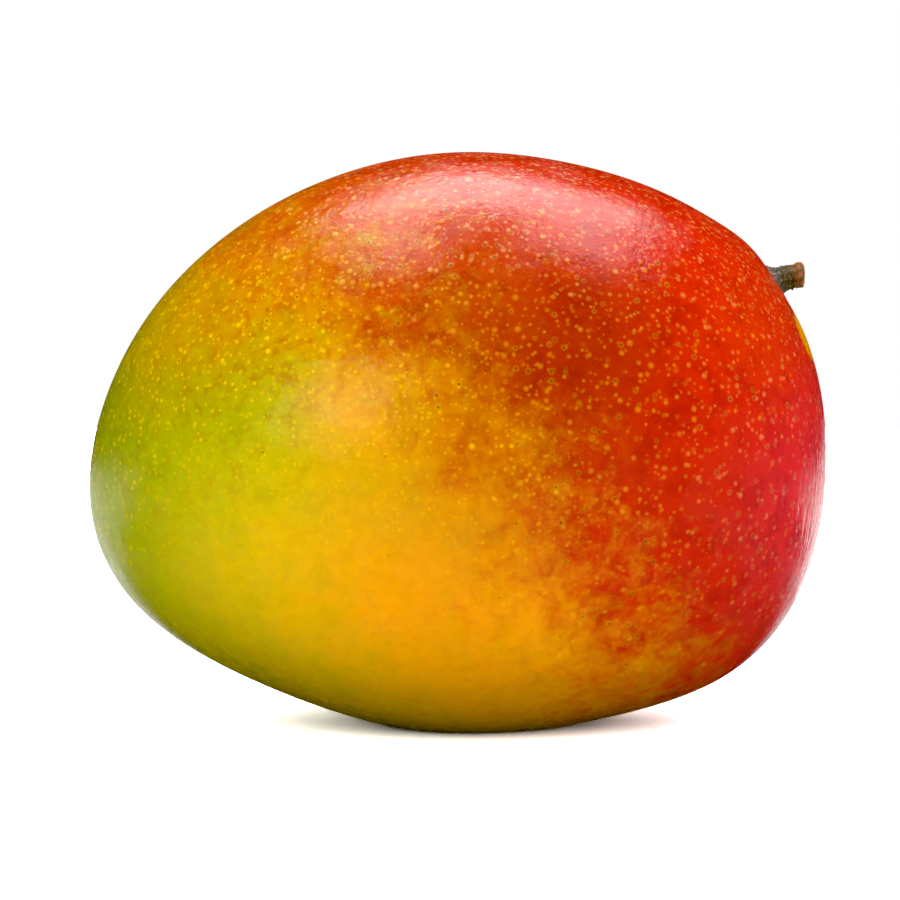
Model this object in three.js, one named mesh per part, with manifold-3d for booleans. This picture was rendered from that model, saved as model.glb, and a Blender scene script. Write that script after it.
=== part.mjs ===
// A ripe mango with the stub of its stalk, resting on its lower edge on a small flat spot.
// Millimetres. +Z is up, +X points to the stem end, and the broad cheeks face -Y and +Y.
// The origin is on the ground under the middle of the fruit.

import * as THREE from 'three';
import Module from 'manifold-3d';

// ---- driving dimensions -------------------------------------------------------------------

const HALF_LENGTH = 60.4; // half axis of the plain ellipsoid, from beak to stem end
const HALF_HEIGHT = 49.1; // half axis from the back to the belly
const HALF_THICKNESS = 43.0; // half axis from cheek to cheek
const CHEEK_FULLNESS = 2.2; // exponent across the cheeks; 2 is a plain ellipse, more is squarer
const CHEEK_TAPER = 0.06; // the cheeks are this share thicker at the stem end, thinner at the beak
const LONG_AXIS_RISE = 12; // degrees by which the long axis rises towards the stem end

const CENTRE_X = 0.32; // sets the middle of the whole length over the origin
const CENTRE_Z = 46.4; // lower than HALF_HEIGHT, so the ground presses the belly flat
const FLAT_EDGE = 0.5; // height over which the flat spot rounds into the belly

// Swellings and hollows of the outline, each a soft bump on the fruit's upright middle plane:
// where it sits (degrees from +X towards +Z), how wide it is (degrees), how high it is (mm).
const FEATURES = {
  bellyShoulder: { at: -32.5, spread: 25, height: 6.6 },
  sinus: { at: 233.5, spread: 36, height: -4.3 },
  beak: { at: 197.5, spread: 22, height: 3.3 },
  stemShoulder: { at: 31, spread: 9, height: 1.0 },
  back: { at: 66, spread: 26, height: -1.3 },
  stemBasin: { at: 27.5, spread: 7, height: -0.8 },
};

const FRUIT_DETAIL = 15; // subdivisions of each edge of the icosahedron that becomes the skin

const STEM_GAP = 0.3; // clearance between the stalk's foot and the skin
const STEM_SIDES = 28;
const STEM_RINGS = 12; // rows of points between the foot and the rounded tip
const STEM_FOOT_RADIUS = 3.4;
const STEM_NECK_RADIUS = 2.0;
const STEM_FLARE = 1.3; // height over which the foot narrows to the neck
const STEM_ROOT = 1.6; // length that starts below the skin and is cut away to fit it
const STEM_LENGTH = 5.0; // length above the bottom of the basin, along the bent middle line
const STEM_BASE_RISE = 28; // degrees above level at which it leaves the skin
const STEM_TIP_RISE = 0; // degrees above level at its broken tip
const TIP_ROUNDING = 0.7; // radius of the rounded edge of the broken tip
const TIP_STEPS = 4; // straight steps along that rounded edge

// ---- the fruit's shape --------------------------------------------------------------------

const centre = new THREE.Vector3(CENTRE_X, 0, CENTRE_Z);

function middlePlaneDirection(degrees) {
  const angle = THREE.MathUtils.degToRad(degrees);
  return new THREE.Vector3(Math.cos(angle), 0, Math.sin(angle));
}

// Distance from the centre to the skin: a tilted ellipsoid with full cheeks, plus the features.
function skinRadius(direction) {
  const rise = THREE.MathUtils.degToRad(LONG_AXIS_RISE);
  const along = direction.x * Math.cos(rise) + direction.z * Math.sin(rise);
  const upward = direction.z * Math.cos(rise) - direction.x * Math.sin(rise);
  const thickness = HALF_THICKNESS * (1 + CHEEK_TAPER * along);
  const outline = Math.hypot(along / HALF_LENGTH, upward / HALF_HEIGHT);
  const cheek = Math.abs(direction.y) / thickness;
  let radius = (outline ** CHEEK_FULLNESS + cheek ** CHEEK_FULLNESS) ** (-1 / CHEEK_FULLNESS);
  for (const { at, spread, height } of Object.values(FEATURES)) {
    const away = THREE.MathUtils.radToDeg(direction.angleTo(middlePlaneDirection(at)));
    radius += height * Math.exp(-((away / spread) ** 2));
  }
  return radius;
}

// The ground stops the belly: heights under it become 0, with a short parabola in between.
function pressedOnGround(z) {
  if (z <= -FLAT_EDGE) return 0;
  if (z >= FLAT_EDGE) return z;
  return (z + FLAT_EDGE) ** 2 / (4 * FLAT_EDGE);
}

function skinPoint(direction, outset = 0) {
  const point = direction.clone().multiplyScalar(skinRadius(direction) + outset).add(centre);
  point.z = pressedOnGround(point.z + outset) - outset;
  return point;
}

function fruitGeometry(outset = 0) {
  const geometry = new THREE.IcosahedronGeometry(1, FRUIT_DETAIL);
  geometry.deleteAttribute('uv');
  const positions = geometry.attributes.position;
  const direction = new THREE.Vector3();
  for (let i = 0; i < positions.count; i += 1) {
    direction.fromBufferAttribute(positions, i).normalize();
    const point = skinPoint(direction, outset);
    positions.setXYZ(i, point.x, point.y, point.z);
  }
  geometry.computeVertexNormals();
  return geometry;
}

// ---- the stalk's shape --------------------------------------------------------------------

// The middle line leaves the basin along the skin's normal and bends towards level.
function stemMiddleLine() {
  const start = skinPoint(middlePlaneDirection(FEATURES.stemBasin.at));
  const out = middlePlaneDirection(STEM_BASE_RISE);
  const root = start.clone().addScaledVector(out, -STEM_ROOT);
  const bend = start.clone().addScaledVector(out, STEM_LENGTH / 2);
  const tip = bend.clone().addScaledVector(middlePlaneDirection(STEM_TIP_RISE), STEM_LENGTH / 2);
  return new THREE.QuadraticBezierCurve3(root, bend, tip);
}

// Half outline of the straight stalk, from the middle of its foot to the middle of its tip. The
// foot narrows to the neck as exp(-(height / flare)^2), and a quarter circle rounds the tip.
function stemProfile() {
  const whole = STEM_ROOT + STEM_LENGTH;
  const side = whole - TIP_ROUNDING;
  const outline = [new THREE.Vector2(0, 0)];
  for (let ring = 0; ring <= STEM_RINGS; ring += 1) {
    const height = (side * ring) / STEM_RINGS;
    const above = Math.max(0, height - STEM_ROOT);
    const flare = (STEM_FOOT_RADIUS - STEM_NECK_RADIUS) * Math.exp(-((above / STEM_FLARE) ** 2));
    outline.push(new THREE.Vector2(STEM_NECK_RADIUS + flare, height));
  }
  for (let step = 1; step <= TIP_STEPS; step += 1) {
    const angle = (Math.PI / 2) * (step / TIP_STEPS);
    const inward = TIP_ROUNDING * (1 - Math.cos(angle));
    outline.push(new THREE.Vector2(STEM_NECK_RADIUS - inward, side + TIP_ROUNDING * Math.sin(angle)));
  }
  outline.push(new THREE.Vector2(0, whole));
  return outline;
}

// The turned profile is laid along the middle line, which stays in the fruit's middle plane.
function bentStemGeometry() {
  const profile = stemProfile();
  const geometry = new THREE.LatheGeometry(profile, STEM_SIDES);
  const whole = profile[profile.length - 1].y;
  const line = stemMiddleLine();
  const positions = geometry.attributes.position;
  const across = new THREE.Vector3(0, 1, 0);
  for (let i = 0; i < positions.count; i += 1) {
    const share = Math.min(1, positions.getY(i) / whole);
    const along = line.getTangentAt(share);
    const side = new THREE.Vector3().crossVectors(across, along);
    const point = line.getPointAt(share);
    point.addScaledVector(side, positions.getX(i));
    point.addScaledVector(across, -positions.getZ(i));
    positions.setXYZ(i, point.x, point.y, point.z);
  }
  return geometry;
}

// ---- solids -------------------------------------------------------------------------------

const wasm = await Module();
wasm.setup();

const MERGE_GRID = 1e4; // corner points are equal when they agree to this many parts of a millimetre

// Joins equal corner points and drops triangles that have no area, then makes a solid.
function toSolid(geometry) {
  const positions = geometry.attributes.position;
  const corners = geometry.index ? Array.from(geometry.index.array) : [...Array(positions.count).keys()];
  const numbers = new Map();
  const points = [];
  const merged = corners.map((corner) => {
    const point = [positions.getX(corner), positions.getY(corner), positions.getZ(corner)];
    const key = point.map((value) => Math.round(value * MERGE_GRID)).join(',');
    if (!numbers.has(key)) {
      numbers.set(key, numbers.size);
      points.push(...point);
    }
    return numbers.get(key);
  });
  const triangles = [];
  for (let i = 0; i < merged.length; i += 3) {
    const [a, b, c] = merged.slice(i, i + 3);
    if (a !== b && b !== c && c !== a) triangles.push(a, b, c);
  }
  return new wasm.Manifold(
    new wasm.Mesh({
      numProp: 3,
      vertProperties: new Float32Array(points),
      triVerts: new Uint32Array(triangles),
    }),
  );
}

function toGeometry(solid) {
  const { vertProperties, triVerts } = solid.getMesh();
  const geometry = new THREE.BufferGeometry();
  geometry.setAttribute('position', new THREE.BufferAttribute(vertProperties, 3));
  geometry.setIndex(new THREE.BufferAttribute(triVerts, 1));
  geometry.computeVertexNormals();
  return geometry;
}

// ---- parts --------------------------------------------------------------------------------

function makeFruit() {
  const skin = new THREE.MeshStandardMaterial({ color: 0xd06c14, roughness: 0.35, metalness: 0 });
  const mesh = new THREE.Mesh(fruitGeometry(), skin);
  mesh.name = 'fruit';
  return mesh;
}

function makeStem() {
  const room = toSolid(fruitGeometry(STEM_GAP));
  const stub = toSolid(bentStemGeometry()).subtract(room);
  const bark = new THREE.MeshStandardMaterial({ color: 0x5b4533, roughness: 0.85, metalness: 0 });
  const mesh = new THREE.Mesh(toGeometry(stub), bark);
  mesh.name = 'stem';
  return mesh;
}

const mango = new THREE.Group();
mango.name = 'mango';
mango.add(makeFruit(), makeStem());

export default mango;
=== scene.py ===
"""A ripe mango with the stub of its stalk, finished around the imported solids."""

import math

import bpy
import numpy as np
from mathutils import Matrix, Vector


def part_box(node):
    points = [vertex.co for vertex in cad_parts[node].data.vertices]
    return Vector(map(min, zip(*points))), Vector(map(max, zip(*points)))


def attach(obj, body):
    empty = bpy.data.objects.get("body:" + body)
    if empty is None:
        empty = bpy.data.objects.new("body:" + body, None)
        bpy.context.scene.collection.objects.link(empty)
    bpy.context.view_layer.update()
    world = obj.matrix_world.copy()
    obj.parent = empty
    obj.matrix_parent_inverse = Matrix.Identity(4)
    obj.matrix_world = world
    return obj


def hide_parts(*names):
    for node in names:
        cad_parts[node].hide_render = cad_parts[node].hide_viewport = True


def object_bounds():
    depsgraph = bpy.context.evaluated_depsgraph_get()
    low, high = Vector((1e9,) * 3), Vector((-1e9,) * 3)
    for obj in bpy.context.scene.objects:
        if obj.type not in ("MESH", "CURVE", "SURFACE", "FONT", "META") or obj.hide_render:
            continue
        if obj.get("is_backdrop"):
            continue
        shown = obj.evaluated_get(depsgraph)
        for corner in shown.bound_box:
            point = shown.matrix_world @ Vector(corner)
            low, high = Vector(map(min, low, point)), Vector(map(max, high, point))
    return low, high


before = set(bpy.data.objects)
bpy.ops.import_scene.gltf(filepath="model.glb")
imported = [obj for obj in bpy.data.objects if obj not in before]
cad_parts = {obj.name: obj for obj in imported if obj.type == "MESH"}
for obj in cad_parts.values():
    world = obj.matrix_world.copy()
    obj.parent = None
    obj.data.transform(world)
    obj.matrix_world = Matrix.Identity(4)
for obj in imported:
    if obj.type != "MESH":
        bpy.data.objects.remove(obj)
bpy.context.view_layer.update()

MM = 0.001


# ---- measures of the fruit -------------------------------------------------------------------

FRUIT_LOW, FRUIT_HIGH = (np.array(corner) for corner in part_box("fruit"))
FRUIT_SIZE = FRUIT_HIGH - FRUIT_LOW

# The plain ellipsoid, in millimetres: half axes, then how full and how tapered the cheeks are.
HALF_LENGTH = 60.4
HALF_HEIGHT = 49.1
HALF_THICKNESS = 43.0
CHEEK_FULLNESS = 2.2
CHEEK_TAPER = 0.06
LONG_AXIS_RISE = math.radians(12)
CENTRE = np.array([0.32, 0.0, 46.4])
FLAT_EDGE = 0.5

# Swellings and hollows on the upright middle plane: (degrees from +X towards +Z, spread, height).
FEATURES = {
    "belly_shoulder": (-32.5, 25, 6.6),
    "sinus": (233.5, 36, -4.3),
    "beak": (197.5, 22, 3.3),
    "stem_shoulder": (31, 9, 1.0),
    "back": (66, 26, -1.3),
    "stem_basin": (27.5, 7, -0.8),
}
STEM_AT = FEATURES["stem_basin"][0]

SKIN_CELLS = 120  # grid cells along each edge of the cube that becomes the skin
MAP_MARGIN = 0.01  # share of each square of the flat map that is left empty on every side

# Unevenness all over the skin: how many bumps, how wide (degrees) and how high (mm).
RIPPLES = 70
RIPPLE_SPREADS = (7.0, 20.0)
RIPPLE_HEIGHT = 0.10

# Folds round the stem basin: how deep (mm), how far from its middle and how long (degrees).
FOLD_DEPTH = 0.10
FOLD_AWAY = 9.0
FOLD_LENGTH = 5.0


# ---- small helpers ---------------------------------------------------------------------------

def middle_plane(degrees):
    """The unit direction in the plane Y = 0, turned from +X towards +Z."""
    angle = math.radians(degrees)
    return np.array([math.cos(angle), 0.0, math.sin(angle)])


def unit(vectors):
    """Each vector divided by its own length."""
    return vectors / np.linalg.norm(vectors, axis=-1, keepdims=True)


def smooth(low, high, values):
    """0 below low, 1 above high, and the curve 3t^2 - 2t^3 in between."""
    share = np.clip((values - low) / (high - low), 0.0, 1.0)
    return share * share * (3.0 - 2.0 * share)


def linear(red, green, blue):
    """A display colour of 0 to 255 as the linear light that shaders work in."""
    display = np.array([red, green, blue]) / 255.0
    return np.where(display <= 0.04045, display / 12.92, ((display + 0.055) / 1.055) ** 2.4)


def make_mesh(name, points, faces, material):
    """A smooth-shaded piece with its place in its mesh, riding on the one body."""
    mesh = bpy.data.meshes.new(name)
    mesh.from_pydata(points.tolist(), [], faces)
    mesh.shade_smooth()
    mesh.materials.append(material)
    piece = bpy.data.objects.new(name, mesh)
    bpy.context.scene.collection.objects.link(piece)
    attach(piece, "root")
    return piece


def add_value(mesh, name, values):
    """Stores one number for each vertex under a name that a material reads."""
    attribute = mesh.attributes.new(name, "FLOAT", "POINT")
    attribute.data.foreach_set("value", np.asarray(values, np.float32))


def add_colour(mesh, name, colours):
    """Stores one linear colour for each vertex under a name that a material reads."""
    attribute = mesh.attributes.new(name, "FLOAT_COLOR", "POINT")
    opaque = np.ones((len(colours), 1))
    attribute.data.foreach_set("color", np.hstack([colours, opaque]).astype(np.float32).ravel())


# ---- the fruit's shape -----------------------------------------------------------------------

def skin_radius(directions):
    """Distance from the centre to the skin, in millimetres.

    A tilted ellipsoid whose cross section is a superellipse, plus soft bumps: each feature adds
    its height times exp(-(angle to the feature / spread)^2).
    """
    rise_cos, rise_sin = math.cos(LONG_AXIS_RISE), math.sin(LONG_AXIS_RISE)
    along = directions[:, 0] * rise_cos + directions[:, 2] * rise_sin
    upward = directions[:, 2] * rise_cos - directions[:, 0] * rise_sin
    thickness = HALF_THICKNESS * (1.0 + CHEEK_TAPER * along)
    outline = np.hypot(along / HALF_LENGTH, upward / HALF_HEIGHT)
    cheek = np.abs(directions[:, 1]) / thickness
    radius = (outline**CHEEK_FULLNESS + cheek**CHEEK_FULLNESS) ** (-1.0 / CHEEK_FULLNESS)
    for degrees, spread, height in FEATURES.values():
        away = np.degrees(np.arccos(np.clip(directions @ middle_plane(degrees), -1.0, 1.0)))
        radius += height * np.exp(-((away / spread) ** 2))
    return radius


def ripples(directions):
    """Faint unevenness of a grown skin, in millimetres: many wide bumps and hollows at random."""
    random = np.random.default_rng(11)
    centres = unit(random.normal(size=(RIPPLES, 3)))
    spreads = np.radians(random.uniform(*RIPPLE_SPREADS, RIPPLES))
    heights = random.normal(0.0, RIPPLE_HEIGHT, RIPPLES)
    total = np.zeros(len(directions))
    for centre, spread, height in zip(centres, spreads, heights):
        gap = 2.0 - 2.0 * (directions @ centre)
        total += height * np.exp(-gap / spread**2)
    return total


def basin_folds(directions):
    """Short soft folds that run out of the stem basin like spokes, in millimetres.

    Two cosines of the angle around the basin, with 7 and 11 waves, fade away from FOLD_AWAY.
    """
    out = middle_plane(STEM_AT)
    across = np.array([0.0, 1.0, 0.0])
    above = np.cross(out, across)
    away = np.degrees(np.arccos(np.clip(directions @ out, -1.0, 1.0)))
    around = np.arctan2(directions @ across, directions @ above)
    depth = FOLD_DEPTH * np.exp(-(((away - FOLD_AWAY) / FOLD_LENGTH) ** 2))
    return depth * (np.cos(7 * around + 0.6) + 0.6 * np.cos(11 * around + 2.1))


def pressed_on_ground(heights):
    """Heights under the ground become 0, with a short parabola in between."""
    blended = (heights + FLAT_EDGE) ** 2 / (4.0 * FLAT_EDGE)
    return np.where(heights <= -FLAT_EDGE, 0.0, np.where(heights >= FLAT_EDGE, heights, blended))


def skin_points(directions):
    """The skin in metres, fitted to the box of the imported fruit."""
    radius = skin_radius(directions) + ripples(directions) + basin_folds(directions)
    points = directions * radius[:, None] + CENTRE
    points[:, 2] = pressed_on_ground(points[:, 2])
    low, high = points.min(axis=0), points.max(axis=0)
    return FRUIT_LOW + (points - low) / (high - low) * FRUIT_SIZE


# The six faces of a cube: the way each looks, and the ways its two grid numbers run.
CUBE_FACES = (
    ((0, -1, 0), (0, 0, -1), (1, 0, 0)),
    ((0, 1, 0), (0, 0, 1), (1, 0, 0)),
    ((0, 0, 1), (0, -1, 0), (1, 0, 0)),
    ((0, 0, -1), (0, 1, 0), (1, 0, 0)),
    ((1, 0, 0), (0, 1, 0), (0, 0, 1)),
    ((-1, 0, 0), (0, -1, 0), (0, 0, 1)),
)


def cube_ball(cells):
    """A ball from a cube whose six square grids are blown up, welded where they meet.

    Grid lines are spread by tan(angle), so the cells come out nearly equal. Returns the unit
    directions, the quads and each quad corner's place on a flat map of three by two squares.
    """
    lines = np.tan(np.linspace(-1.0, 1.0, cells + 1) * math.pi / 4.0)
    across, along = np.meshgrid(lines, lines, indexing="ij")
    share_across, share_along = np.meshgrid(*[np.linspace(0.0, 1.0, cells + 1)] * 2, indexing="ij")
    directions, places = [], []
    for number, (out, first, second) in enumerate(CUBE_FACES):
        out, first, second = (np.array(way, float) for way in (out, first, second))
        face = out + across[..., None] * first + along[..., None] * second
        directions.append(unit(face).reshape(-1, 3))
        column, row = number % 3, number // 3
        place_u = (column + MAP_MARGIN + (1.0 - 2.0 * MAP_MARGIN) * share_across) / 3.0
        place_v = (row + MAP_MARGIN + (1.0 - 2.0 * MAP_MARGIN) * share_along) / 2.0
        places.append(np.stack([place_u, place_v], axis=-1).reshape(-1, 2))
    directions, places = np.vstack(directions), np.vstack(places)
    corner = np.arange((cells + 1) ** 2).reshape(cells + 1, cells + 1)
    quads = np.stack([corner[:-1, :-1], corner[1:, :-1], corner[1:, 1:], corner[:-1, 1:]], axis=-1)
    quads = np.vstack([quads.reshape(-1, 4) + face * corner.size for face in range(6)])
    keys = np.round(directions * 1e6).astype(np.int64)
    _, kept, merged = np.unique(keys, axis=0, return_index=True, return_inverse=True)
    return directions[kept], merged.reshape(-1)[quads], places[quads]


# ---- the fruit's colours ---------------------------------------------------------------------

GREEN = linear(134, 150, 2)
DEEP_GREEN = linear(96, 122, 2)
LIME = linear(165, 174, 2)
YELLOW = linear(202, 184, 2)
AMBER = linear(254, 165, 2)
HONEY = linear(232, 158, 2)
OCHRE = linear(204, 124, 2)
CARAMEL = linear(188, 116, 2)
MARIGOLD = linear(224, 138, 8)
# Partly the peel's own olive tone, partly painted shade low on the belly.
MUSTARD_AND_SHADE = linear(158, 130, 3)
# Painted shade: a dark umber that darkens the bottom of the belly, where less light reaches.
UNDERSIDE_SHADE = linear(176, 112, 2)

BRICK = linear(150, 34, 2)
SCARLET = linear(190, 25, 3)
# The stem end's own crimson, with a bluish cast that is partly painted reflection along that edge.
CRIMSON_AND_REFLECTION = linear(204, 30, 44)
TILE = linear(160, 62, 2)
RUST = linear(180, 84, 2)
ROSE = linear(184, 50, 4)

DOT_YELLOW = linear(234, 188, 4)
DOT_ORANGE = linear(240, 166, 16)
DOT_TAN = linear(236, 164, 40)
DOT_SALMON = linear(255, 172, 130)
# Partly the dots' own pale tint, partly painted highlight where the overhead gloss falls.
DOT_CREAM_AND_HIGHLIGHT = linear(255, 222, 150)
PORE_BROWN = linear(84, 50, 6)
FLECK_BROWN = linear(96, 60, 10)

# What the clouds in the skin multiply its colour by.
GREENER = (0.80, 0.97, 1.0)
FADED = (0.94, 0.91, 1.0)
DEEPER = (0.80, 0.54, 1.0)
RUSTIER = (0.86, 0.60, 0.7)

# Soft washes on the side view of the fruit, in millimetres: centre along X, centre height,
# spread along, spread up, turn in degrees, strength and, where it paints, colour.
# The ground colours; the two washes low on the belly lay painted shade on the underside.
GROUND_AND_SHADE_WASHES = (
    (-16, 40, 23, 40, 0, 1.0, LIME),
    (-27, 30, 20, 17, -25, 1.0, YELLOW),
    (0, 24, 30, 17, -8, 1.0, AMBER),
    (20, 30, 26, 30, 0, 1.0, AMBER),
    (-28, 81, 36, 12, 40, 0.95, CARAMEL),
    (5, 60, 22, 34, 0, 1.0, OCHRE),
    (-15, 57, 9, 13, 0, 0.8, HONEY),
    (-58, 54, 7, 16, 0, 0.45, DEEP_GREEN),
    (58, 66, 12, 12, 0, 1.0, MARIGOLD),
    # olive tone with painted shade, low on the belly towards the beak
    (-28, 8, 26, 7, -25, 0.45, MUSTARD_AND_SHADE),
    # painted shade along the underside, darker towards the bottom
    (6, 6, 34, 9, 0, 0.4, UNDERSIDE_SHADE),
    (-16, 76, 18, 11, 15, 0.8, OCHRE),
)
FLUSH_WASHES = (
    (-32, 74, 30, 22, 0, 0.9, RUST),
    (4, 62, 20, 24, 20, 0.9, TILE),
    (20, 66, 14, 14, 0, 0.9, BRICK),
    # crimson at the stem end; its bluish cast is partly painted reflection
    (60, 40, 16, 42, 0, 1.0, CRIMSON_AND_REFLECTION),
    (50, 68, 10, 14, 0, 0.6, ROSE),
)
# Where fine upright wrinkles run, at the stem end.
WRINKLE_WASH = (63, 40, 6, 24, 0, 1.0)
# What the pale dots lean towards on the red skin, and along the top a paler cream that is partly
# painted highlight.
DOT_AND_HIGHLIGHT_WASHES = (
    (66, 50, 22, 50, 0, 1.0, DOT_SALMON),
    # paler dots along the top: partly painted highlight
    (10, 94, 60, 16, 0, 1.0, DOT_CREAM_AND_HIGHLIGHT),
)
# Where the skin is redder than the slanting line makes it.
BLUSH_WASHES = (
    (-34, 82, 30, 9, 40, 0.35),
    (-14, 74, 16, 10, 10, 0.40),
)
# A small place by the stem end that never turned red.
WINDOW_WASH = (57.6, 65.0, 4.8, 3.0, -60, 1.0)
WINDOW_SIDEWAYS = -5.0  # its middle along Y
WINDOW_WIDTH = 7.0  # its spread along Y
# Where the skin between green and red is finely mottled.
MOTTLE_WASH = (-28, 66, 34, 19, 35, 1.0)


def wash_weight(points, wash):
    """exp(-(a^2 + b^2)), where a and b are the side-view offsets over the turned spreads."""
    along, up, wide, high, turn, strength = wash[:6]
    angle = math.radians(turn)
    offset_x = points[:, 0] / MM - along
    offset_z = points[:, 2] / MM - up
    first = (offset_x * math.cos(angle) + offset_z * math.sin(angle)) / wide
    second = (offset_z * math.cos(angle) - offset_x * math.sin(angle)) / high
    return strength * np.exp(-(first**2 + second**2))


def washed(points, base, washes):
    """A base colour with each wash laid over it in turn."""
    colours = np.tile(base, (len(points), 1))
    for wash in washes:
        weight = wash_weight(points, wash)[:, None]
        colours = colours * (1.0 - weight) + wash[-1] * weight
    return colours


# The slanting line across which the skin turns from green to red, in millimetres.
BLUSH_PLACE = (2.0, 76.0)  # a place on the side view that the line is measured from
BLUSH_SLOPE = (0.85, 0.527)  # the way across the line, along X and up
BLUSH_START = -45.0  # where the red starts, measured across the line
BLUSH_WIDTH = 62.0  # how far it takes to be fully red
BLUSH_FAR_SHIFT = 14.0  # how much nearer to the beak the line lies on the far cheek


def blush_share(points):
    """How red the skin is, 0 to 1: it rises across a slanting line from the belly to the back."""
    along, sideways, up = points.T / MM
    slant = (along - BLUSH_PLACE[0]) * BLUSH_SLOPE[0] + (up - BLUSH_PLACE[1]) * BLUSH_SLOPE[1]
    far_side = smooth(-10.0, 40.0, sideways)
    share = np.clip((slant + BLUSH_FAR_SHIFT * far_side - BLUSH_START) / BLUSH_WIDTH, 0.0, 1.0)
    for wash in BLUSH_WASHES:
        share += wash_weight(points, wash) * (1.0 - share)
    window = wash_weight(points, WINDOW_WASH)
    window = window * np.exp(-(((sideways - WINDOW_SIDEWAYS) / WINDOW_WIDTH) ** 2))
    return share * (1.0 - smooth(0.20, 0.75, window))


def dot_shares(points):
    """How thickly the large and the small pale dots lie, 0 to 1 each."""
    blush = blush_share(points)
    height = points[:, 2] / MM
    large = smooth(0.35, 0.7, blush) * smooth(4.0, 26.0, height)
    large = np.maximum(large, 0.8 * smooth(58.0, 74.0, height))
    small = smooth(22.0, 48.0, height) * (1.0 - 0.75 * smooth(0.6, 0.9, blush))
    small = np.maximum(small, smooth(60.0, 76.0, height))
    return large, small


# ---- materials -------------------------------------------------------------------------------

class Shader:
    """Short ways to add nodes to one material and to join them up."""

    def __init__(self, name):
        self.material = bpy.data.materials.new(name)
        self.material.use_nodes = True
        self.nodes = self.material.node_tree.nodes
        self.links = self.material.node_tree.links
        self.principled = self.nodes["Principled BSDF"]

    def feed(self, socket, value):
        """Joins a socket to the value when that is a socket too, or sets it to the value."""
        if isinstance(value, bpy.types.NodeSocket):
            self.links.new(value, socket)
        else:
            socket.default_value = value

    def attribute(self, name, output="Fac"):
        node = self.nodes.new("ShaderNodeAttribute")
        node.attribute_name = name
        return node.outputs[output]

    def millimetres(self):
        """The place on the piece in millimetres."""
        place = self.nodes.new("ShaderNodeTexCoord").outputs["Object"]
        return self.vector("SCALE", place, scale=1.0 / MM)

    def vector(self, operation, first, second=None, scale=None):
        node = self.nodes.new("ShaderNodeVectorMath")
        node.operation = operation
        self.feed(node.inputs[0], first)
        if second is not None:
            self.feed(node.inputs[1], second)
        if scale is not None:
            self.feed(node.inputs["Scale"], scale)
        return node.outputs["Vector"]

    def math(self, operation, first, second=0.0, third=0.0):
        node = self.nodes.new("ShaderNodeMath")
        node.operation = operation
        for socket, value in zip(node.inputs, (first, second, third)):
            self.feed(socket, value)
        return node.outputs["Value"]

    def ramp(self, value, low, high, start=0.0, end=1.0):
        """Start below low, end above high and a smooth step in between."""
        node = self.nodes.new("ShaderNodeMapRange")
        node.interpolation_type = "SMOOTHSTEP"
        for name, item in zip(("Value", "From Min", "From Max", "To Min", "To Max"),
                              (value, low, high, start, end)):
            self.feed(node.inputs[name], item)
        return node.outputs["Result"]

    def noise(self, place, scale, detail=3.0, roughness=0.5, output="Fac"):
        node = self.nodes.new("ShaderNodeTexNoise")
        self.feed(node.inputs["Vector"], place)
        self.feed(node.inputs["Scale"], scale)
        self.feed(node.inputs["Detail"], detail)
        self.feed(node.inputs["Roughness"], roughness)
        return node.outputs[output]

    def cells(self, place, scale, randomness=1.0):
        """Distance to the nearest of many scattered points, and that point's random colour."""
        node = self.nodes.new("ShaderNodeTexVoronoi")
        self.feed(node.inputs["Vector"], place)
        self.feed(node.inputs["Scale"], scale)
        self.feed(node.inputs["Randomness"], randomness)
        split = self.nodes.new("ShaderNodeSeparateColor")
        self.feed(split.inputs["Color"], node.outputs["Color"])
        chances = [split.outputs[name] for name in ("Red", "Green", "Blue")]
        return node.outputs["Distance"], chances

    def mix(self, share, first, second, blend="MIX"):
        node = self.nodes.new("ShaderNodeMix")
        node.data_type = "RGBA"
        node.blend_type = blend
        self.feed(node.inputs[0], share)
        self.feed(node.inputs[6], rgba(first))
        self.feed(node.inputs[7], rgba(second))
        return node.outputs[2]

    def bump(self, height, depth, under=None):
        """Raises the surface by depth metres where the height is 1."""
        node = self.nodes.new("ShaderNodeBump")
        self.feed(node.inputs["Strength"], 1.0)
        self.feed(node.inputs["Distance"], depth)
        self.feed(node.inputs["Height"], height)
        if under is not None:
            self.feed(node.inputs["Normal"], under)
        return node.outputs["Normal"]

    def set(self, **values):
        """Sets or joins the main shader's sockets, named with _ for each space."""
        for name, value in values.items():
            self.feed(self.principled.inputs[name.replace("_", " ")], value)


def rgba(colour):
    """A colour of three numbers gets its fourth; a socket stays as it is."""
    if isinstance(colour, bpy.types.NodeSocket):
        return colour
    return (*colour[:3], 1.0)


# Each layer of dots: spacing and largest radius in millimetres, and a shift that sets it apart.
BIG_DOTS = (1.8, 0.78, (0.0, 0.0, 0.0))
MEDIUM_DOTS = (1.6, 0.56, (7.3, 3.1, 5.7))
SMALL_DOTS = (1.12, 0.48, (2.9, 8.3, 1.1))
FLECKS = (4.5, 0.34, (4.1, 6.7, 9.2))
SMALLEST_DOT = 0.65  # radius of the smallest dot as a share of the largest
OPEN_PORES = 0.6  # share of the dots that have a dark middle


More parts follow.
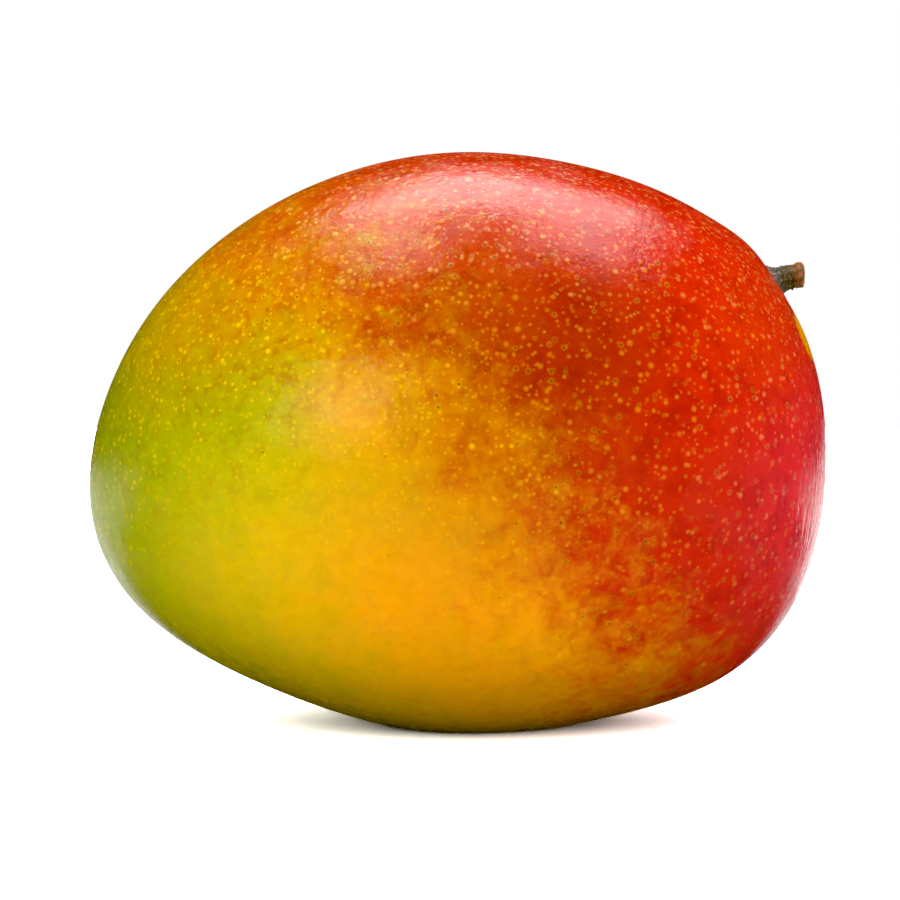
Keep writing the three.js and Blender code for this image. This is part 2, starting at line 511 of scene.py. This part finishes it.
def dots(shader, place, layer, share):
    """Round pale pores of random size and strength, and the dark middles of the open ones.

    A pore is a small ball round a scattered point, cut by the skin, and it is drawn where its
    random number is under the share, so that pores thin out evenly.
    """
    spacing, radius, shift = layer
    distance, (keep, size, tone) = shader.cells(shader.vector("ADD", place, shift), 1.0 / spacing)
    reach = shader.math("MULTIPLY_ADD", size, radius * (1.0 - SMALLEST_DOT), radius * SMALLEST_DOT)
    edge = shader.math("DIVIDE", shader.math("MULTIPLY", distance, spacing), reach)
    there = shader.math("LESS_THAN", keep, share)
    strength = shader.math("MULTIPLY", there, shader.math("MULTIPLY_ADD", tone, 0.5, 0.5))
    disc = shader.math("MULTIPLY", shader.ramp(edge, 1.0, 0.25), strength)
    open_pore = shader.math("MULTIPLY", there, shader.math("LESS_THAN", tone, OPEN_PORES))
    middle = shader.math("MULTIPLY", shader.ramp(edge, 0.60, 0.15), open_pore)
    return disc, middle


def clouded_peel(skin, place):
    """The peel without its dots: its colour, the colour of its red, and how red each place is.

    The stored share of red is unsettled by noise of three sizes, so that the red edge is cloudy,
    and both the ground under it and the red itself are patchy.
    """
    ground = skin.attribute("ground", "Color")
    flush = skin.attribute("flush", "Color")
    mottle = skin.attribute("mottle")
    drift = skin.vector("SCALE", skin.noise(place, 0.12, 2.0, 0.5, "Color"), scale=9.0)
    drifted = skin.vector("ADD", place, drift)

    cloudy = skin.attribute("blush")
    clouds = (
        (skin.noise(drifted, 0.06, 3.0, 0.55), 0.60),
        (skin.noise(drifted, 0.30, 4.0, 0.6), 0.55),
        (skin.noise(place, 0.9, 3.0, 0.6), 0.25),
    )
    for cloud, strength in clouds:
        cloudy = skin.math("MULTIPLY_ADD", skin.math("SUBTRACT", cloud, 0.5), strength, cloudy)
    red_share = skin.ramp(cloudy, 0.25, 0.82)

    greenish = skin.ramp(skin.noise(drifted, 0.16, 3.0, 0.6), 0.35, 0.85)
    ground = skin.mix(greenish, ground, skin.mix(1.0, ground, GREENER, "MULTIPLY"))
    fading = skin.ramp(skin.noise(place, 0.55, 4.0, 0.7), 0.40, 0.65)
    ground = skin.mix(fading, ground, skin.mix(1.0, ground, FADED, "MULTIPLY"))
    deep = skin.ramp(skin.noise(drifted, 0.22, 4.0, 0.6), 0.42, 0.70)
    flush = skin.mix(deep, flush, skin.mix(1.0, flush, DEEPER, "MULTIPLY"))
    colour = skin.mix(red_share, ground, flush)

    rusty = skin.math("MULTIPLY", skin.ramp(skin.noise(drifted, 0.42, 4.0, 0.7), 0.46, 0.66), mottle)
    colour = skin.mix(rusty, colour, skin.mix(1.0, colour, RUSTIER, "MULTIPLY"))
    limy = skin.math("MULTIPLY", skin.ramp(skin.noise(place, 0.26, 4.0, 0.65), 0.52, 0.72), mottle)
    colour = skin.mix(skin.math("MULTIPLY", limy, 0.4), colour, LIME)
    return colour, flush, red_share


def dotted_peel(skin, place, colour, flush, red_share):
    """The peel with pale dots of three sizes, the brown middles of open pores and brown flecks.

    Also returns where the larger dots are, because they stand a little proud.
    """
    large_share = skin.attribute("large_dots")
    small_share = skin.attribute("small_dots")
    fewer = skin.math("MULTIPLY", large_share, 0.7)
    big, big_middle = dots(skin, place, BIG_DOTS, large_share)
    medium, _ = dots(skin, place, MEDIUM_DOTS, fewer)
    small, _ = dots(skin, place, SMALL_DOTS, small_share)
    fleck, _ = dots(skin, place, FLECKS, 0.6)

    sunny = skin.ramp(skin.noise(place, 0.30, 3.0, 0.7), 0.50, 0.62)
    tint = skin.mix(sunny, skin.attribute("dot_tint", "Color"), DOT_ORANGE)
    dot_colour = skin.mix(red_share, DOT_YELLOW, skin.mix(0.38, flush, tint))
    pores = skin.math("MAXIMUM", big, medium)
    colour = skin.mix(skin.math("MULTIPLY", pores, 0.85), colour, dot_colour)
    colour = skin.mix(skin.math("MULTIPLY", small, 0.75), colour, dot_colour)
    colour = skin.mix(skin.math("MULTIPLY", big_middle, 0.8), colour, PORE_BROWN)
    colour = skin.mix(skin.math("MULTIPLY", fleck, 0.8), colour, FLECK_BROWN)
    return colour, pores


def peel_relief(skin, place, pores):
    """Soft dents, a fine grain, raised dots and the upright wrinkles at the stem end."""
    normal = skin.bump(skin.noise(place, 0.22, 4.0, 0.65), 0.00024)
    normal = skin.bump(skin.noise(place, 1.3, 3.0, 0.6), 0.00002, normal)
    normal = skin.bump(pores, 0.00003, normal)
    upright = skin.noise(skin.vector("MULTIPLY", place, (1.0, 1.0, 0.1)), 0.9, 3.0, 0.6)
    wrinkles = skin.math("MULTIPLY", upright, skin.attribute("wrinkles"))
    return skin.bump(wrinkles, 0.0009, normal)


def skin_material():
    """Waxy peel: cloudy blush over a green to amber ground with painted shade underneath, pale dots and
    a soft gloss.
    """
    skin = Shader("mango_skin")
    place = skin.millimetres()
    colour, flush, red_share = clouded_peel(skin, place)
    colour, pores = dotted_peel(skin, place, colour, flush, red_share)
    roughness = skin.ramp(skin.noise(place, 0.16, 4.0, 0.6), 0.3, 0.7, 0.20, 0.34)
    normal = peel_relief(skin, place, pores)
    skin.set(Base_Color=colour, Roughness=roughness, Normal=normal, IOR=1.35)
    return skin.material


BARK_GREY = linear(84, 76, 68)
BARK_OLIVE = linear(74, 60, 30)
BARK_PALE = linear(186, 170, 146)
BARK_DARK = linear(34, 26, 18)
BROKEN_ORANGE = linear(168, 92, 44)
BROKEN_BROWN = linear(96, 74, 36)


def bark_material():
    """Dry bark, grey-brown and cracked at the foot, orange-brown where the stalk broke off."""
    bark = Shader("stalk_bark")
    place = bark.millimetres()
    along = bark.attribute("along")
    blotches = bark.noise(place, 0.9, 4.0, 0.65)
    specks = bark.noise(place, 2.0, 5.0, 0.8)
    shifted = bark.math("MULTIPLY_ADD", bark.math("SUBTRACT", blotches, 0.5), 0.35, along)
    colour = bark.mix(bark.ramp(shifted, 0.10, 0.42), BARK_GREY, BARK_OLIVE)
    broken = bark.mix(bark.ramp(blotches, 0.42, 0.60), BROKEN_ORANGE, BROKEN_BROWN)
    colour = bark.mix(bark.ramp(shifted, 0.52, 0.90), colour, broken)
    scaly = bark.ramp(shifted, 0.65, 0.30, 0.35, 1.0)
    pale = bark.math("MULTIPLY", bark.ramp(specks, 0.54, 0.66), scaly)
    colour = bark.mix(pale, colour, BARK_PALE)
    dark = bark.math("MULTIPLY", bark.ramp(specks, 0.46, 0.36), scaly)
    colour = bark.mix(dark, colour, BARK_DARK)
    normal = bark.bump(bark.noise(place, 3.0, 4.0, 0.7), 0.0003)
    bark.set(Base_Color=colour, Roughness=0.85, Normal=normal)
    return bark.material


# ---- pieces ----------------------------------------------------------------------------------

def make_fruit():
    """The whole fruit as one closed skin with its colours and its flat map."""
    directions, quads, places = cube_ball(SKIN_CELLS)
    directions = unit(directions * np.array([HALF_LENGTH, HALF_THICKNESS, HALF_HEIGHT]))
    points = skin_points(directions)
    fruit = make_mesh("mango_fruit", points, quads.tolist(), skin_material())
    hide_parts("fruit")
    mesh = fruit.data
    # The ground colour carries painted shade underneath, the red a bluish cast at the stem end that is
    # partly painted reflection, and the dot tint a cream along the top that is partly painted
    # highlight.
    add_colour(mesh, "ground", washed(points, GREEN, GROUND_AND_SHADE_WASHES))
    add_colour(mesh, "flush", washed(points, SCARLET, FLUSH_WASHES))
    add_colour(mesh, "dot_tint", washed(points, DOT_TAN, DOT_AND_HIGHLIGHT_WASHES))
    add_value(mesh, "blush", blush_share(points))
    large, small = dot_shares(points)
    add_value(mesh, "large_dots", large)
    add_value(mesh, "small_dots", small)
    add_value(mesh, "mottle", wash_weight(points, MOTTLE_WASH))
    add_value(mesh, "wrinkles", wash_weight(points, WRINKLE_WASH))
    flat_map = mesh.uv_layers.new(name="OFBake")
    flat_map.data.foreach_set("uv", places.astype(np.float32).ravel())
    return fruit


# The stalk, in millimetres. Its rises are degrees above level.
STEM_RINGS = 90
STEM_SIDES = 72
STEM_FOOT_RADIUS = 3.6
STEM_NECK_RADIUS = 1.95
STEM_ROOT = 0.8  # how far the foot sinks into the skin
STEM_LENGTH = 5.0
STEM_BASE_RISE = 28
STEM_TIP_RISE = 0
STEM_TIP_HOLLOW = 0.5  # how far the middle of the broken end is sunk

# Stretches along the stalk, as shares of its whole length.
FLARE_SHARE = 0.16  # over which the foot narrows
FLARE_POWER = 1.4  # how abruptly it does
TIP_SWELLING = 0.15  # how much thicker the tip is than the neck, in millimetres
TIP_SWELLING_AT = 0.82
TIP_SWELLING_SHARE = 0.16
TIP_ROUNDING_AT = 0.9  # where the end starts to round off
TIP_ROUNDING = 0.55  # the share of its squared radius that the end loses

# Lengthwise ridges: (how many around, height as a share of the radius, turn in radians).
STEM_RIDGES = ((5, 0.05, 0.7), (8, 0.035, 2.0))
KNOBS = 60
KNOB_HEIGHT = 0.17


def basin_bottom():
    """The skin point in the middle of the stem basin, in millimetres, without ripples."""
    direction = middle_plane(STEM_AT)[None, :]
    return (direction * skin_radius(direction)[:, None] + CENTRE)[0]


def stem_line(share):
    """Middle line of the stalk and its direction: a bend from steep at the foot to level."""
    start = basin_bottom()
    out = middle_plane(STEM_BASE_RISE)
    root = start - STEM_ROOT * out
    bend = start + 0.5 * STEM_LENGTH * out
    tip = bend + 0.5 * STEM_LENGTH * middle_plane(STEM_TIP_RISE)
    share = share[:, None]
    line = (1 - share) ** 2 * root + 2 * share * (1 - share) * bend + share**2 * tip
    way = 2 * (1 - share) * (bend - root) + 2 * share * (tip - bend)
    return line, unit(way)


def stem_points():
    """Rings along the bent line: foot flare, neck, swollen and rounded tip, ridges and knobs.

    The radius is neck + (foot - neck) exp(-(s / flare)^power) + swelling exp(-(gap / spread)^2),
    times the rounding of the end and one plus a cosine for each ridge pattern, plus knobs.
    """
    share = np.linspace(0.0, 1.0, STEM_RINGS)
    around = np.linspace(0.0, 2.0 * math.pi, STEM_SIDES, endpoint=False)
    flare = np.exp(-((share / FLARE_SHARE) ** FLARE_POWER))
    swelling = np.exp(-(((share - TIP_SWELLING_AT) / TIP_SWELLING_SHARE) ** 2))
    rounded = ((share - TIP_ROUNDING_AT) / (1.0 - TIP_ROUNDING_AT)).clip(0.0, 1.0)
    radius = STEM_NECK_RADIUS + (STEM_FOOT_RADIUS - STEM_NECK_RADIUS) * flare + TIP_SWELLING * swelling
    radius = radius * np.sqrt(1.0 - TIP_ROUNDING * rounded**2)
    ridges = sum(height * np.cos(count * around + turn) for count, height, turn in STEM_RIDGES)
    radius = radius[:, None] * (1.0 + ridges[None, :])
    random = np.random.default_rng(5)
    for _ in range(KNOBS):
        at, turn = random.uniform(0.0, 1.0), random.uniform(0.0, 2.0 * math.pi)
        long, wide = random.uniform(0.02, 0.08), random.uniform(0.2, 0.6)
        height = random.normal(0.0, KNOB_HEIGHT)
        gap = np.angle(np.exp(1j * (around - turn)))
        radius += height * np.exp(-((share[:, None] - at) / long) ** 2 - (gap[None, :] / wide) ** 2)
    line, way = stem_line(share)
    side = np.array([0.0, 1.0, 0.0])
    above = np.cross(way, side)
    ring = np.cos(around)[None, :, None] * above[:, None, :] + np.sin(around)[None, :, None] * side
    return line[:, None, :] + radius[..., None] * ring, line, way


def make_stem():
    """The stub of the stalk, closed at both ends."""
    rings, line, way = stem_points()
    rows, sides = rings.shape[:2]
    foot = line[0]
    tip = line[-1] - STEM_TIP_HOLLOW * way[-1]
    points = np.vstack([rings.reshape(-1, 3), foot, tip]) * MM
    ring = np.arange(sides)
    after = np.roll(ring, -1)
    starts = (np.arange(rows - 1) * sides)[:, None]
    quads = np.stack([starts + ring, starts + after, starts + sides + after, starts + sides + ring], -1)
    last = (rows - 1) * sides
    foot_fan = [(rows * sides, int(b), int(a)) for a, b in zip(ring, after)]
    tip_fan = [(rows * sides + 1, int(last + a), int(last + b)) for a, b in zip(ring, after)]
    faces = quads.reshape(-1, 4).tolist() + foot_fan + tip_fan
    stem = make_mesh("mango_stem", points, faces, bark_material())
    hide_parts("stem")
    share = np.repeat(np.linspace(0.0, 1.0, rows), sides)
    add_value(stem.data, "along", np.concatenate([share, [0.0, 1.0]]))
    return stem


# ---- studio ----------------------------------------------------------------------------------

# Places and sizes here are in metres.
SHEET_HALF = 0.6
SHEET_RETURN = 0.62  # how much light the sheet throws back
SHEET_SEEN = 2.85  # how bright it looks from the camera, so that only a dark shadow shows
# The darkest blue light, pulled down softly: (light, what it becomes).
BLUE_TOE = ((0.008, 0.0004), (0.016, 0.004), (0.026, 0.016), (0.05, 0.046))

# Soft walls that light the fruit evenly and stay out of its gloss: (round, up, radiance).
WALL_DISTANCE = 1.2
WALL_WIDTH = 1.7
WALL_DEPTH = 1.2
WALLS = (
    (0, 32, 2.4),
    (90, 32, 1.9),
    (180, 32, 1.2),
    (270, 32, 1.9),
    (0, 90, 1.9),
)
# A box at the near left that shows only in the gloss, in the same way and with its own sizes.
NEAR_BOX = (-33, 14, 2.6)
NEAR_BOX_DISTANCE = 0.8
NEAR_BOX_WIDTH = 0.36
NEAR_BOX_DEPTH = 0.27
# Panels overhead that show only in the gloss: (along X, along Y, width, depth, radiance).
PANEL_HEIGHT = 0.83
OVERHEAD_PANELS = (
    (-0.26, 0.04, 0.19, 0.84, 7.8),
    (-0.03, 0.36, 0.27, 0.54, 8.6),
    (0.27, 0.17, 0.33, 0.80, 6.8),
)
# Patches of the sheet that show only in the gloss, in the same way.
SHEET_SHINES = (
    (-0.35, 0.265, 0.92, 0.48, 1.25),
    (0.16, 0.38, 0.16, 0.60, 2.6),
)
SHINE_HEIGHT = 0.002


def make_floor():
    """A white sheet: it looks brighter to the eye than the light that it throws back up."""
    half = SHEET_HALF
    corners = [(-half, -half, 0), (half, -half, 0), (half, half, 0), (-half, half, 0)]
    mesh = bpy.data.meshes.new("studio_floor")
    mesh.from_pydata(corners, [], [(0, 1, 2, 3)])
    paper = Shader("white_sheet")
    seen = paper.nodes.new("ShaderNodeLightPath").outputs["Is Camera Ray"]
    white = paper.mix(seen, (SHEET_RETURN,) * 3, (SHEET_SEEN,) * 3)
    paper.set(Base_Color=white, Roughness=1.0, Specular_IOR_Level=0.0)
    mesh.materials.append(paper.material)
    floor = bpy.data.objects.new("studio_floor", mesh)
    bpy.context.scene.collection.objects.link(floor)
    floor.visible_glossy = False
    floor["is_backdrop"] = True


def make_world():
    """White behind everything, for the eye only."""
    world = bpy.data.worlds.new("studio_air")
    world.use_nodes = True
    nodes, links = world.node_tree.nodes, world.node_tree.links
    seen = nodes.new("ShaderNodeLightPath").outputs["Is Camera Ray"]
    links.new(seen, nodes["Background"].inputs["Strength"])
    nodes["Background"].inputs["Color"].default_value = (1.0, 1.0, 1.0, 1.0)
    bpy.context.scene.world = world


def add_light(name, place, tilt, turn, width, depth, radiance):
    """A soft rectangular light; tilt 0 shines straight down, a quarter turn shines level."""
    light = bpy.data.lights.new(name, "AREA")
    light.shape = "RECTANGLE"
    light.size = width
    light.size_y = depth
    light.energy = radiance * math.pi * width * depth
    lamp = bpy.data.objects.new(name, light)
    bpy.context.scene.collection.objects.link(lamp)
    lamp.location = place
    lamp.rotation_euler = (tilt, 0.0, turn)
    lamp.visible_camera = False
    return lamp


def add_facing_light(name, way, distance, width, depth):
    """A light that faces the fruit.

    The way to it starts with two angles in degrees: round from the near side towards +X, and up.
    Its third number is the light's radiance.
    """
    round_degrees, up_degrees, radiance = way
    low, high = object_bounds()
    turn, rise = math.radians(round_degrees), math.radians(up_degrees)
    level = math.cos(rise)
    out = type(low)((math.sin(turn) * level, -math.cos(turn) * level, math.sin(rise)))
    place = (low + high) / 2.0 + distance * out
    return add_light(name, place, math.pi / 2.0 - rise, turn, width, depth, radiance)


def make_lights():
    """The soft walls, then what shows in the gloss: the boxes and the sheet behind the fruit."""
    for number, way in enumerate(WALLS):
        wall = add_facing_light(f"soft_wall_{number}", way, WALL_DISTANCE, WALL_WIDTH, WALL_DEPTH)
        wall.visible_glossy = False
        wall.data.cycles.use_multiple_importance_sampling = False
    near_box = add_facing_light(
        "near_left_box", NEAR_BOX, NEAR_BOX_DISTANCE, NEAR_BOX_WIDTH, NEAR_BOX_DEPTH)
    boxes = [near_box]
    for number, (along, behind, width, depth, radiance) in enumerate(OVERHEAD_PANELS):
        place = (along, behind, PANEL_HEIGHT)
        boxes.append(add_light(f"overhead_panel_{number}", place, 0.0, 0.0, width, depth, radiance))
    for number, (along, behind, width, depth, radiance) in enumerate(SHEET_SHINES):
        place = (along, behind, SHINE_HEIGHT)
        boxes.append(add_light(f"sheet_shine_{number}", place, math.pi, 0.0, width, depth, radiance))
    for box in boxes:
        box.visible_diffuse = False


CAMERA_RISE = math.radians(5.0)
CAMERA_DISTANCE = 0.75
CAMERA_SENSOR = 36.0  # millimetres, as is the lens
CAMERA_LENS = 180.0
AIM_LEFT = 0.00125  # how far the camera looks past the fruit's middle, to the left and below
AIM_BELOW = 0.0019


def make_camera():
    """Nearly level, from the near cheek, with a long lens."""
    low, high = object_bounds()
    aim = (low + high) / 2.0
    aim.x -= AIM_LEFT
    aim.z -= AIM_BELOW
    camera_data = bpy.data.cameras.new("camera")
    camera_data.sensor_width = CAMERA_SENSOR
    camera_data.lens = CAMERA_LENS
    camera = bpy.data.objects.new("camera", camera_data)
    bpy.context.scene.collection.objects.link(camera)
    away = type(aim)((0.0, -math.cos(CAMERA_RISE), math.sin(CAMERA_RISE)))
    camera.location = aim + CAMERA_DISTANCE * away
    camera.rotation_euler = (-away).to_track_quat("-Z", "Y").to_euler()
    bpy.context.scene.camera = camera


def set_view():
    """Plain display colours, with the darkest blue pulled down."""
    settings = bpy.context.scene.view_settings
    settings.view_transform = "Standard"
    settings.use_curve_mapping = True
    blue_curve = settings.curve_mapping.curves[2]
    for light, becomes in BLUE_TOE:
        blue_curve.points.new(light, becomes).handle_type = "VECTOR"
    settings.curve_mapping.update()


make_fruit()
make_stem()
make_floor()
make_world()
make_lights()
make_camera()
set_view()
